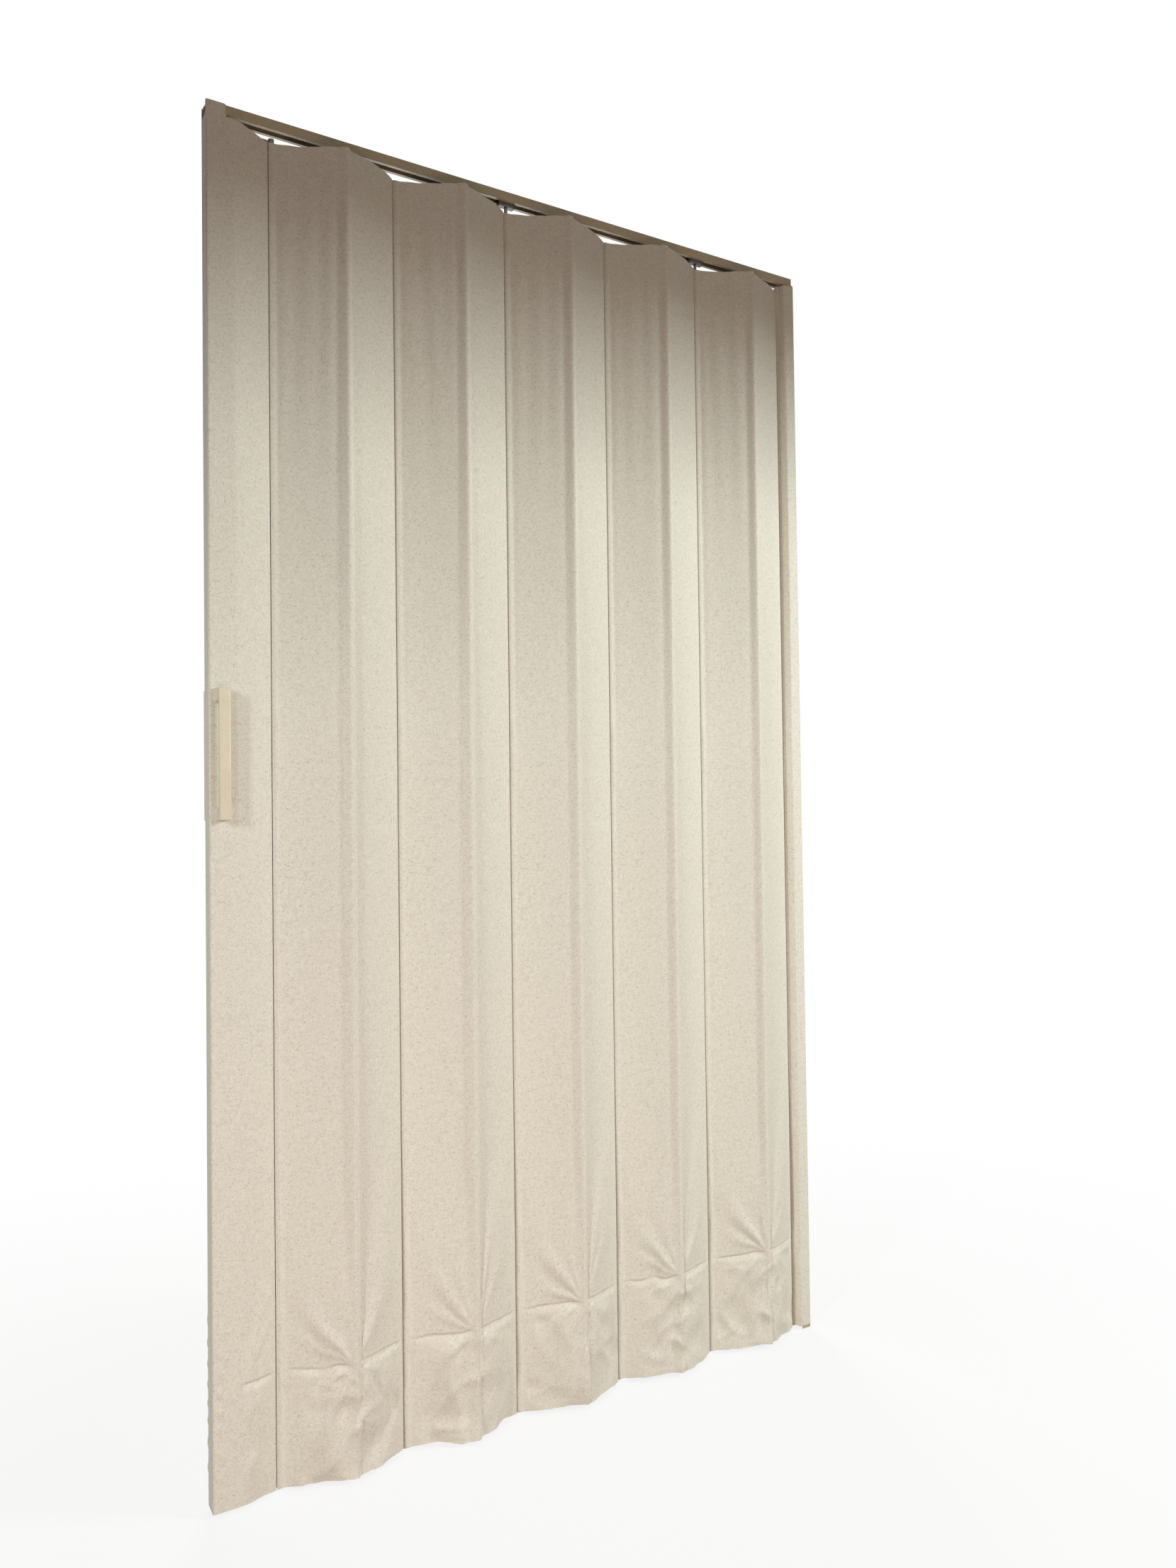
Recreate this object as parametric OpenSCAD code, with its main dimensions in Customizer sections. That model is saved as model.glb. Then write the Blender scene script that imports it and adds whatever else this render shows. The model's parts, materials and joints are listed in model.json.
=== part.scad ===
// Accordion folding door: a pantograph frame of flat steel arms on upright rods, with a pleated
// cover on each side, hung from a ceiling track and fixed to one jamb.
// X runs along the door with the lead post at -X, the front faces -Y, and Z is up from the floor.
// A centre line is an upright hinge line in the middle of the door, numbered 1 at the lead post.
// Between two centre lines the front cover peaks on a front rod and the back cover on a back rod.

/* [Opening] */
// Width of the opening, from the lead post's outer face to the wall at the jamb
opening_w = 1219; // [1100:1:1300]
// Height of the opening, from the floor to the header
opening_h = 2134; // [1900:1:2400]
// Clear height between the floor and the hem
floor_gap = 6; // [3:0.5:20]

/* [Fold] */
// Angle that each arm makes with the track when the door is drawn across
rest_angle = 21.5; // [17:0.5:26]
// Angle that each arm makes with the track when the door is stacked open
stacked_angle = 78; // [70:0.5:79]
// Distance from the lead post's inner face to the first centre line
lead_reach = 66.3; // [50:0.1:90]
// Distance from the jamb post's open edge to the last centre line
jamb_reach = 9.2; // [8:0.1:20]

/* [Rods and arms] */
// Radius of every upright rod
rod_r = 3; // [2.5:0.1:4]
// Thickness of the flat steel of the arms and brackets
strap_t = 1.5; // [1:0.1:2.5]
// Height of the flat steel of the arms
strap_h = 22; // [14:1:30]
// Height of the brackets on the posts
bracket_h = 16; // [10:1:20]
// Width of the brackets' feet
foot_w = 18; // [10:1:24]
// Wall of the eye that is rolled round a rod
eye_wall = 1.55; // [1.2:0.05:2.5]
// Height of the lowest row of arms above the floor
first_row = 180; // [100:1:300]
// Drop from the cover's top edge to the highest row of arms
row_drop = 64; // [64:1:120]
// Height of the collars that hold the arms up on a rod
collar_h = 3; // [2:0.5:6]
// Height of the retaining rings above the arms
ring_h = 2; // [1:0.5:3]

/* [Cover] */
// Thickness of the cover
cover_t = 1.2; // [0.8:0.1:2]
// Gap between the cover's top edge and the track
top_gap = 9; // [6:0.5:15]

/* [Track] */
// Width of the track across the door
track_w = 25; // [25:0.5:32]
// Height of the track
track_h = 16; // [16:0.5:24]
// Wall of the track
track_wall = 1.2; // [1:0.1:1.5]
// Width of the slot between the track's lips
slot_w = 12.4; // [11:0.1:13]
// Distance between the screws that hold the track up
track_hole_pitch = 360; // [200:1:360]

/* [Posts] */
// Width of the lead post, with its cover
lead_w = 38; // [34:1:60]
// Width of the jamb post
jamb_w = 20; // [15:1:40]
// Depth of both posts across the door
post_d = 34; // [32:1:44]
// Wall of both posts
post_wall = 1.5; // [1:0.1:2.5]
// Thickness of the plate in the top of the lead post
plate_t = 3; // [2:0.5:6]
// Width of the cheeks that straddle the track
cheek_w = 25; // [15:1:34]
// Distance between the screws that hold the jamb post to the wall
jamb_hole_pitch = 540; // [400:1:560]

/* [Trolleys] */
// Radius of the wheels
wheel_r = 5.7; // [4.5:0.1:5.8]
// Width of the wheels
wheel_w = 4.4; // [2.5:0.1:4.4]
// Radius of the axles
axle_r = 1.5; // [1:0.1:2]
// Length of the trolleys along the track
trolley_w = 32; // [20:1:50]
// Distance between the two axles of the lead post's carriage
axle_pitch = 16; // [13:0.5:18]

/* [Pulls] */
// Length of the grip
pull_len = 200; // [165:1:260]
// Width of the grip
pull_w = 18; // [16:0.5:20]
// Thickness of the grip
grip_t = 6; // [5.5:0.5:6]
// Distance that the grip stands out from the lead post
pull_reach = 19; // [18:0.5:30]
// Length of the foot at each end of the grip
pull_foot = 20; // [14:1:28]
// Distance of the pulls from the middle of the lead post, towards its outer edge
pull_shift = 6.5; // [0:0.5:8]
// Height of the middle of the pulls above the floor
pull_z = 1133; // [900:1:1250]
// Radius of the studs
stud_r = 2; // [1.5:0.1:2.5]

/* [Screws] */
// Radius of the screw holes in the track and the jamb post
screw_r = 2.4; // [1.8:0.1:3]

/* [Hidden] */
$fn = 48;
// Counts of pleats and of centre lines
pleats = 5;
lines = pleats + 1;
front = -1;
back = 1;
right = 1;
left = -1;
// Clearances: turning fit, upright seat, wheel to track, steel to cover, notch to steel
fit = 0.05;
seat_gap = 0.3;
wheel_gap = 0.3;
strap_clear = 0.35;
notch_clear = 0.3;
edge_gap = 0.5;
// Seam between the flat strips that make up a channel, a tube or a wrap
seam = 0.05;
// Heights
track_z = opening_h - track_h;
cover_top = track_z - top_gap;
top_row = cover_top - row_drop;
row_z = [first_row, (first_row + top_row) / 2, top_row];
level_h = strap_h + seat_gap;
pair_h = level_h + strap_h;
stack_h = pair_h + seat_gap + bracket_h;
rod_tail = 8;
rod_head = 0.6;
cut = 1;
// Fold
arm_w = (opening_w - lead_w - lead_reach - jamb_w - jamb_reach) / (2 * pleats * cos(rest_angle));
pitch = 2 * arm_w * cos(rest_angle);
amp = arm_w * sin(rest_angle);
lead_x = -opening_w / 2 + lead_w;
lead_mid = -opening_w / 2 + lead_w / 2;
jamb_x = opening_w / 2 - jamb_w;
// Arms
hole_r = rod_r + fit;
eye_r = hole_r + eye_wall;
strap_in = cover_t / 2 + strap_clear;
strap_out = strap_in + strap_t;
strap_start = hole_r + 0.35;
// The cover stops short of a rod, and further off where arms turn past it when the door is stacked
edge_r = rod_r + edge_gap;
stacked_gap = 180 - 2 * stacked_angle;
pass_r = (cover_t / 2 + notch_clear + strap_out * cos(stacked_gap)) / sin(stacked_gap);
notch_r = pass_r * cos(stacked_gap) + strap_out * sin(stacked_gap);
notch_below = collar_h + 2 * seat_gap + 1;
notch_above = ring_h + 2 * seat_gap + 1;
// Track, trolleys and carriage
runway_w = track_w - 2 * track_wall;
axle_z = track_z + track_wall + wheel_gap + wheel_r;
trolley_t = slot_w - 2;
trolley_gap = 2;
trolley_z = cover_top + trolley_gap;
trolley_top = axle_z + wheel_r;
socket_h = axle_z - axle_r - 2 - trolley_z;
hub_r = 2.8;
track_holes = 4;
jamb_holes = 4;
// Lead post
core_x = lead_x - post_wall;
cheek_gap = 1.5;
cheek_drop = 1;
pin_r = 3;
pin_h = plate_t + 3;
// Pulls
grip_r = 2.5;
foot_inset = 0.5;
pull_x = lead_mid - pull_shift;
stud_pitch = pull_len - pull_foot;
stud_bite = 12;
stud_clear = 0.3;
jamb_seam = 1.5;

cover_colour = [0.84, 0.80, 0.73];
enamel_colour = [0.72, 0.66, 0.55];
steel_colour = [0.62, 0.63, 0.64];
nylon_colour = [0.92, 0.91, 0.87];
zinc_colour = [0.75, 0.76, 0.77];
pull_colour = [0.86, 0.81, 0.70];

// Place of a centre line, and of the front or back rod between it and the next
function line_x(n) = jamb_x - jamb_reach - (lines - n) * pitch;
function rod_x(k) = line_x(k) + pitch / 2;
// Side of an arm's right-hand end: arms a go to the front there on odd lines, arms b to the back
function a_side(n) = n % 2 == 1 ? front : back;
function turn(dx, dy) = atan2(dy * sin(rest_angle), dx * cos(rest_angle));
function leaf_name(side, i) = str(side == front ? "front" : "back", "_leaf_", i < 10 ? "0" : "", i);

// Ceiling track: a channel with two lips, open downwards, in flat strips that meet at its bends
module track() {
    color(enamel_colour) {
        difference() {
            translate([-opening_w / 2, -track_w / 2, opening_h - track_wall])
                cube([opening_w, track_w, track_wall]);
            for (i = [0 : track_holes - 1])
                translate([(i - (track_holes - 1) / 2) * track_hole_pitch, 0, opening_h - track_wall - cut])
                    cylinder(r = screw_r, h = track_wall + 2 * cut);
        }
        for (side = [front, back]) on_side(side) {
            translate([-opening_w / 2, runway_w / 2, track_z + track_wall + seam])
                cube([opening_w, track_wall, track_h - 2 * track_wall - 2 * seam]);
            translate([-opening_w / 2, slot_w / 2, track_z])
                cube([opening_w, (track_w - slot_w) / 2, track_wall]);
        }
    }
}

// Turns what is drawn at +Y to the front where the side is the front
module on_side(side) {
    if (side == front) mirror([0, 1, 0]) children();
    else children();
}

// Jamb post: a channel from the floor to the track, its back against the wall
module jamb_post() {
    color(enamel_colour) {
        difference() {
            translate([opening_w / 2 - post_wall, -post_d / 2, 0]) cube([post_wall, post_d, track_z]);
            for (i = [0 : jamb_holes - 1])
                translate([opening_w / 2 - post_wall - cut, 0, jamb_hole_z(i)])
                    rotate([0, 90, 0]) cylinder(r = screw_r, h = post_wall + 2 * cut);
        }
        for (side = [front, back]) on_side(side)
            translate([jamb_x, post_d / 2 - post_wall, 0])
                cube([jamb_w - post_wall - seam, post_wall, track_z]);
    }
}

function jamb_hole_z(i) = opening_h / 2 + (i - (jamb_holes - 1) / 2) * jamb_hole_pitch;

// Upright rod with a collar under each row of arms and a ring above it
module rod(x, y, stack, top) {
    color(steel_colour) translate([x, y, 0]) {
        translate([0, 0, first_row - rod_tail]) cylinder(r = rod_r, h = top - first_row + rod_tail);
        for (z = row_z) {
            translate([0, 0, z - seat_gap - collar_h]) cylinder(r = eye_r, h = collar_h);
            translate([0, 0, z + stack + seat_gap]) cylinder(r = eye_r, h = ring_h);
        }
    }
}

module short_rod(x, y, stack) {
    rod(x, y, stack, top_row + stack + seat_gap + ring_h + rod_head);
}

module fold_rod(k, side) {
    short_rod(rod_x(k), side * amp, pair_h);
}

module hanger_rod(n) {
    rod(line_x(n), 0, pair_h, trolley_z + socket_h - seat_gap);
}

// Brackets on a post, one above each row of arms: an eye on a web with a foot at foot_x
module brackets(n, foot_x) {
    away = sign(foot_x - line_x(n));
    reach = abs(foot_x - line_x(n));
    color(steel_colour) for (z = row_z)
        translate([line_x(n), 0, z + pair_h + seat_gap]) difference() {
            union() {
                cylinder(r = eye_r, h = bracket_h);
                scale_x(away) translate([0, -strap_t / 2, 0]) cube([reach, strap_t, bracket_h]);
                scale_x(away) translate([reach - strap_t, -foot_w / 2, 0])
                    cube([strap_t, foot_w, bracket_h]);
            }
            translate([0, 0, -cut]) cylinder(r = hole_r, h = bracket_h + 2 * cut);
        }
}

// Mirrors its children across X when the sign is negative
module scale_x(s) {
    if (s < 0) mirror([1, 0, 0]) children();
    else children();
}

module jamb_hinge() {
    short_rod(line_x(lines), 0, stack_h);
    brackets(lines, opening_w / 2 - post_wall);
}

// Half of an arm, from a centre line to a front or back rod, on the inner side of its diamond
module half_arm(dx, dy) {
    inner = -dx * dy;
    rotate(turn(dx, dy)) {
        translate([strap_start, inner > 0 ? strap_in : -strap_out, 0])
            cube([arm_w - 2 * strap_start, strap_t, strap_h]);
        translate([arm_w, 0, 0]) cylinder(r = eye_r, h = strap_h);
    }
}

module arm_bore(x, y) {
    translate([x, y, -cut]) cylinder(r = hole_r, h = strap_h + 2 * cut);
}

// Arm on centre line n, once in each row; dy is the side that its right-hand end goes to
module arm(n, dy, level) {
    color(steel_colour) for (z = row_z)
        translate([line_x(n), 0, z + level * level_h]) difference() {
            union() {
                cylinder(r = eye_r, h = strap_h);
                if (n < lines) half_arm(right, dy);
                if (n > 1) half_arm(left, -dy);
            }
            arm_bore(0, 0);
            arm_bore(pitch / 2, dy * amp);
            arm_bore(-pitch / 2, -dy * amp);
        }
}

module arm_a(n) {
    arm(n, a_side(n), n % 2);
}

module arm_b(n) {
    arm(n, -a_side(n), 1 - n % 2);
}

// Flat panel of cover along the X axis, notched at each row where the arms turn
module panel(from_r, to_r, notch_to) {
    difference() {
        translate([from_r, -cover_t / 2, floor_gap])
            cube([to_r - from_r, cover_t, cover_top - floor_gap]);
        for (z = row_z) {
            row_notch(0, notch_r, z);
            if (notch_to) row_notch(arm_w - notch_r, arm_w, z);
        }
    }
}

module row_notch(from_x, to_x, z) {
    translate([from_x, -cover_t, z - notch_below])
        cube([to_x - from_x, 2 * cover_t, stack_h + notch_below + notch_above]);
}

// Leaf i of a cover: odd leaves rise from a centre line to the fold, even ones fall to the next line
module leaf(i, side) {
    dx = i % 2 == 1 ? right : left;
    n = i % 2 == 1 ? (i + 1) / 2 : i / 2 + 1;
    color(cover_colour) translate([line_x(n), 0, 0]) rotate(turn(dx, side))
        panel(edge_r, arm_w - edge_r, true);
}

// Strips of cover from the last centre line to the edges of the jamb post
module jamb_cover() {
    color(cover_colour) for (side = [front, back]) {
        reach = [jamb_x - line_x(lines), side * (post_d - cover_t) / 2];
        translate([line_x(lines), 0, 0]) rotate(atan2(reach.y, reach.x))
            panel(edge_r, norm(reach) - jamb_seam, false);
    }
}

// Outlines of one side of the lead post's cover: its wrap, and the strip to the first centre line
function lead_outlines() =
    let(
        reach = [lead_x - line_x(1), (post_d - cover_t) / 2],
        along = reach / norm(reach),
        out = [along.y, -along.x],
        h = cover_t / 2,
        at = function(t, off) [line_x(1), 0] + t * along + off * out,
        outer = at((post_d / 2 - h * out.y) / along.y, h),
        inner = at((post_d / 2 - cover_t + h * out.y) / along.y, -h),
        wrap_x = -opening_w / 2 + cover_t + seam
    )
    [
        [[wrap_x, post_d / 2], [wrap_x, post_d / 2 - cover_t], inner - [seam, 0], outer - [seam, 0]],
        [outer, inner, at(edge_r, -h), at(edge_r, h)]
    ];

module lead_cover() {
    color(cover_colour) {
        translate([-opening_w / 2, -post_d / 2, floor_gap]) cube([cover_t, post_d, cover_top - floor_gap]);
        difference() {
            for (side = [front, back], outline = lead_outlines()) on_side(side)
                translate([0, 0, floor_gap]) linear_extrude(cover_top - floor_gap) polygon(outline);
            for (side = [front, back], z = row_z)
                translate([line_x(1), 0, 0]) rotate(atan2(side * (post_d - cover_t) / 2, lead_x - line_x(1)))
                    row_notch(0, notch_r, z);
            stud_holes(stud_r + stud_clear);
        }
    }
}

module stud_holes(r) {
    for (s = [-1, 1])
        translate([pull_x, 0, pull_z + s * stud_pitch / 2]) rotate([90, 0, 0])
            cylinder(r = r, h = post_d + 2 * cut, center = true);
}

// Lead post: a steel tube in four flat walls, with a top plate and two cheeks that straddle the track
module lead_post() {
    core_d = post_d - 2 * cover_t;
    tube_x = -opening_w / 2 + cover_t;
    tube_h = cover_top - plate_t - floor_gap - seam;
    cheek_in = track_w / 2 + cheek_gap;
    color(enamel_colour) {
        for (x = [tube_x, core_x - post_wall])
            translate([x, -core_d / 2, floor_gap]) cube([post_wall, core_d, tube_h]);
        difference() {
            for (side = [front, back]) on_side(side)
                translate([tube_x + post_wall + seam, core_d / 2 - post_wall, floor_gap])
                    cube([core_x - tube_x - 2 * (post_wall + seam), post_wall, tube_h]);
            stud_holes(stud_r + stud_clear);
        }
        difference() {
            translate([tube_x, -core_d / 2, cover_top - plate_t]) cube([core_x - tube_x, core_d, plate_t]);
            translate([lead_mid, 0, cover_top - plate_t - cut])
                cylinder(r = pin_r + fit, h = plate_t + 2 * cut);
        }
        for (side = [front, back]) on_side(side)
            translate([-opening_w / 2, cheek_in, cover_top + seam])
                cube([cheek_w, post_d / 2 - cheek_in, opening_h - cheek_drop - cover_top - seam]);
    }
}

// Bore for an axle, through the block at x
module axle_bore(x) {
    translate([x, 0, axle_z]) rotate([90, 0, 0])
        cylinder(r = axle_r + fit, h = trolley_t + 2 * cut, center = true);
}

// Carriage of the lead post: a block in the slot, pinned into the top plate
module lead_carriage() {
    carriage_w = axle_pitch + 2 * wheel_r + 2;
    color(zinc_colour) difference() {
        union() {
            translate([lead_mid - carriage_w / 2, -trolley_t / 2, cover_top])
                cube([carriage_w, trolley_t, trolley_top - cover_top]);
            translate([lead_mid, 0, cover_top - pin_h]) cylinder(r = pin_r, h = pin_h + cut);
        }
        axle_bore(lead_mid - axle_pitch / 2);
        axle_bore(lead_mid + axle_pitch / 2);
    }
}

// Trolley on centre line n, with a socket for the hanger rod
module trolley(n) {
    color(zinc_colour) difference() {
        translate([line_x(n) - trolley_w / 2, -trolley_t / 2, trolley_z])
            cube([trolley_w, trolley_t, trolley_top - trolley_z]);
        axle_bore(line_x(n));
        translate([line_x(n), 0, trolley_z - cut]) cylinder(r = hole_r, h = socket_h + cut);
    }
}

// Two wheels on one axle across the track
module wheel_set(x) {
    color(nylon_colour) translate([x, 0, axle_z]) rotate([90, 0, 0]) {
        cylinder(r = axle_r, h = runway_w - 2 * wheel_gap, center = true);
        for (side = [0, 180]) rotate([side, 0, 0]) {
            translate([0, 0, trolley_t / 2 + fit])
                cylinder(r = hub_r, h = (runway_w - trolley_t) / 2 - wheel_gap - fit);
            translate([0, 0, runway_w / 2 - wheel_gap - wheel_w]) cylinder(r = wheel_r, h = wheel_w);
        }
    }
}

// Section of the grip: a flat bar with round edges
module grip_section() {
    translate([-pull_w / 2 + grip_r, 0]) square([pull_w - 2 * grip_r, grip_t]);
    translate([-pull_w / 2, grip_r]) square([pull_w, grip_t - 2 * grip_r]);
    for (x = [-pull_w / 2 + grip_r, pull_w / 2 - grip_r], y = [grip_r, grip_t - grip_r])
        translate([x, y]) circle(r = grip_r);
}

// Pull that stands out along +Y from the plane y = 0: a grip on a foot at each end
module pull_shape() {
    foot_d = pull_reach - grip_t / 2;
    difference() {
        union() {
            translate([0, pull_reach - grip_t, -pull_len / 2]) linear_extrude(pull_len) grip_section();
            for (s = [-1, 1])
                translate([0, foot_d / 2, s * stud_pitch / 2])
                    cube([pull_w - 2 * foot_inset, foot_d, pull_foot - 2 * foot_inset], center = true);
        }
        for (s = [-1, 1])
            translate([0, -cut, s * stud_pitch / 2]) rotate([-90, 0, 0])
                cylinder(r = stud_r + fit, h = stud_bite + cut);
    }
}

module pull(side) {
    color(pull_colour) on_side(side) translate([pull_x, post_d / 2, pull_z]) pull_shape();
}

module pull_studs() {
    length = post_d + 2 * (stud_bite - seat_gap);
    color(steel_colour) for (s = [-1, 1])
        translate([pull_x, 0, pull_z + s * stud_pitch / 2]) rotate([90, 0, 0])
            cylinder(r = stud_r, h = length, center = true);
}

track();
jamb_post();
jamb_hinge();
jamb_cover();
for (n = [1 : lines]) {
    arm_a(n);
    arm_b(n);
}
fold_rod(1, front);  // fold_rods_a1
fold_rod(1, back);  // fold_rods_b1
for (n = [3, 5]) {
    union() {
        fold_rod(n, front);
        fold_rod(n - 1, back);
    }
    union() {
        fold_rod(n, back);
        fold_rod(n - 1, front);
    }
    hanger_rod(n);
    trolley(n);
    wheel_set(line_x(n));
}
for (n = [2, 4]) short_rod(line_x(n), 0, pair_h);
short_rod(line_x(1), 0, stack_h);  // lead_rod
for (i = [1 : 2 * pleats]) {
    leaf(i, front);
    leaf(i, back);
}
lead_post();
lead_cover();
brackets(1, core_x);  // lead_brackets
lead_carriage();
wheel_set(lead_mid - axle_pitch / 2);  // lead_wheels_outer
wheel_set(lead_mid + axle_pitch / 2);  // lead_wheels_inner
pull(front);  // pull_front
pull(back);  // pull_back
pull_studs();
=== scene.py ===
"""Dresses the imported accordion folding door.

The cover's pleats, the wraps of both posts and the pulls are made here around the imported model. The
metal frame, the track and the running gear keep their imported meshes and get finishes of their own.
"""
import json
import logging
import math
from collections.abc import Callable
from dataclasses import dataclass, replace
from enum import Enum

import bpy
import numpy as np
from mathutils import Matrix, Vector

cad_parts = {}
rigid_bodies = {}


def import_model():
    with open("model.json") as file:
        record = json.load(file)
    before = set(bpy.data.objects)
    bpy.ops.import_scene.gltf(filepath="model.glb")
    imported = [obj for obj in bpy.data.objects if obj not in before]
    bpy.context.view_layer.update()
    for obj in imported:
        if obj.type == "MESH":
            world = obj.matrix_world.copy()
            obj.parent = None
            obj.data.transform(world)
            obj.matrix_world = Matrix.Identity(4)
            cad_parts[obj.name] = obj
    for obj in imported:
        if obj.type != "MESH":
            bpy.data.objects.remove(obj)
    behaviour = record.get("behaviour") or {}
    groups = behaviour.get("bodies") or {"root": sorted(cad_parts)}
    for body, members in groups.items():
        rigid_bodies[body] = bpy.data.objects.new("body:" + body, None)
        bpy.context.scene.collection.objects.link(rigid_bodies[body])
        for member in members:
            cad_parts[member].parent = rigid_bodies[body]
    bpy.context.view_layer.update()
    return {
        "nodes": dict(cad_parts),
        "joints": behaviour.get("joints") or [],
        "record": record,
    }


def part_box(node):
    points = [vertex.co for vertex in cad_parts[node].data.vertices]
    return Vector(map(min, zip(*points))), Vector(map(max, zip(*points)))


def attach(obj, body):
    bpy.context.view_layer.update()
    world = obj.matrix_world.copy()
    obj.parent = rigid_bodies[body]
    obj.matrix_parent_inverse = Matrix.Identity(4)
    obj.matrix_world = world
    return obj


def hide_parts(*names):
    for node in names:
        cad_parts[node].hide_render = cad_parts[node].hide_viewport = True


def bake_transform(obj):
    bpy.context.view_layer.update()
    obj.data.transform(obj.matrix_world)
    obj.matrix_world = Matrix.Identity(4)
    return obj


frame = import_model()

MM = 0.001
Socket = bpy.types.NodeSocket
log = logging.getLogger("folding_door")


class Side(Enum):
    """A face of the door, as its direction along Y."""

    FRONT = -1
    BACK = 1


class Grain(Enum):
    """Which coordinates a finish follows."""

    OBJECT = "Object"
    CLOTH = "UV"


def srgb(red: float, green: float, blue: float) -> tuple[float, float, float, float]:
    """Turns a colour from 0 to 255, as a screen shows it, into linear light.

    Args:
        red: Red part.
        green: Green part.
        blue: Blue part.

    Returns:
        Linear red, green, blue and an alpha of 1.
    """
    shares = [part / 255 for part in (red, green, blue)]
    linear = [v / 12.92 if v <= 0.0404 else ((v + 0.055) / 1.055) ** 2.4 for v in shares]
    return (*linear, 1.0)


def ramp(value: np.ndarray, start: float | np.ndarray, end: float | np.ndarray) -> np.ndarray:
    """Rises smoothly from 0 at start to 1 at end, also where start is above end.

    Args:
        value: Where to measure.
        start: Where the ramp is 0.
        end: Where the ramp is 1.

    Returns:
        The height of the ramp at each value.
    """
    share = np.clip((value - start) / (end - start), 0.0, 1.0)
    return share * share * (3 - 2 * share)


@dataclass(frozen=True)
class Cells:
    """The cells of a noise on the cloth.

    Attributes:
        width: Width of a cell, in metres.
        height: Height of a cell, in metres.
        shift: Where the noise starts, in cells.
    """

    width: float
    height: float
    shift: tuple[float, float] = (0.0, 0.0)


class Lattice:
    """Smooth noise between -1 and 1 on a fixed lattice, the same on each run."""

    COUNT = 96

    def __init__(self, seed: int) -> None:
        """Draws the lattice from a seed."""
        self.values = np.random.default_rng(seed).uniform(-1.0, 1.0, (self.COUNT, self.COUNT))

    def at(self, across: np.ndarray | float, along: np.ndarray | float) -> np.ndarray:
        """Reads the noise.

        Args:
            across: First coordinate, in cells.
            along: Second coordinate, in cells.

        Returns:
            The noise at each place.
        """
        across, along = np.broadcast_arrays(np.asarray(across, float), np.asarray(along, float))
        i, j = np.floor(across).astype(int), np.floor(along).astype(int)
        f, g = across - i, along - j
        f, g = f * f * (3 - 2 * f), g * g * (3 - 2 * g)

        def corner(right: int, up: int) -> np.ndarray:
            """Reads the lattice at one corner of each place's cell."""
            return self.values[(i + right) % self.COUNT, (j + up) % self.COUNT]

        low = corner(0, 0) * (1 - f) + corner(1, 0) * f
        high = corner(0, 1) * (1 - f) + corner(1, 1) * f
        return low * (1 - g) + high * g

    def over(self, cells: Cells, across: np.ndarray, rows: np.ndarray) -> np.ndarray:
        """Reads the noise at places along the cloth and heights, both in metres."""
        return self.at(across / cells.width + cells.shift[0], rows / cells.height + cells.shift[1])


class Nodes:
    """A short way to write the nodes of a material or of the world."""

    def __init__(self, tree: bpy.types.NodeTree) -> None:
        """Keeps the tree."""
        self.tree = tree

    @staticmethod
    def put(node: bpy.types.Node, **values: float | tuple) -> None:
        """Sets plain values of a node's inputs, whose names have _ for a space."""
        for name, value in values.items():
            node.inputs[name.replace("_", " ")].default_value = value

    def add(self, kind: str, **values: float | tuple) -> bpy.types.Node:
        """Adds a node.

        Args:
            kind: Its type, without the words before it.
            **values: Plain values of its inputs, with _ for a space.

        Returns:
            The node.
        """
        node = self.tree.nodes.new(f"ShaderNode{kind}")
        self.put(node, **values)
        return node

    def link(self, source: Socket, target: Socket) -> None:
        """Joins two sockets."""
        self.tree.links.new(source, target)

    def combine(self, operation: str, first: Socket, second: Socket) -> Socket:
        """Works out one value from two.

        Args:
            operation: How it is worked out.
            first: First value.
            second: Second value.

        Returns:
            The result.
        """
        node = self.add("Math")
        node.operation = operation
        self.link(first, node.inputs[0])
        self.link(second, node.inputs[1])
        return node.outputs["Value"]

    def seen(self) -> Socket:
        """Tells what the eye sees from what only gives light.

        Returns:
            A factor that is 1 where the camera, a gloss or a clear surface looks, and 0 elsewhere.
        """
        rays = self.add("LightPath").outputs
        share = self.combine("MAXIMUM", rays["Is Camera Ray"], rays["Is Glossy Ray"])
        return self.combine("MAXIMUM", share, rays["Is Transmission Ray"])

    def surface(self, share: Socket, under: Socket, over: Socket, output: str) -> None:
        """Sends a mix of two shaders to the surface.

        Args:
            share: Share of the second shader.
            under: First shader.
            over: Second shader.
            output: Name of the tree's output node.
        """
        mix = self.add("MixShader")
        for source, target in zip((share, under, over), mix.inputs):
            self.link(source, target)
        self.link(mix.outputs["Shader"], self.tree.nodes[output].inputs["Surface"])


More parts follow.
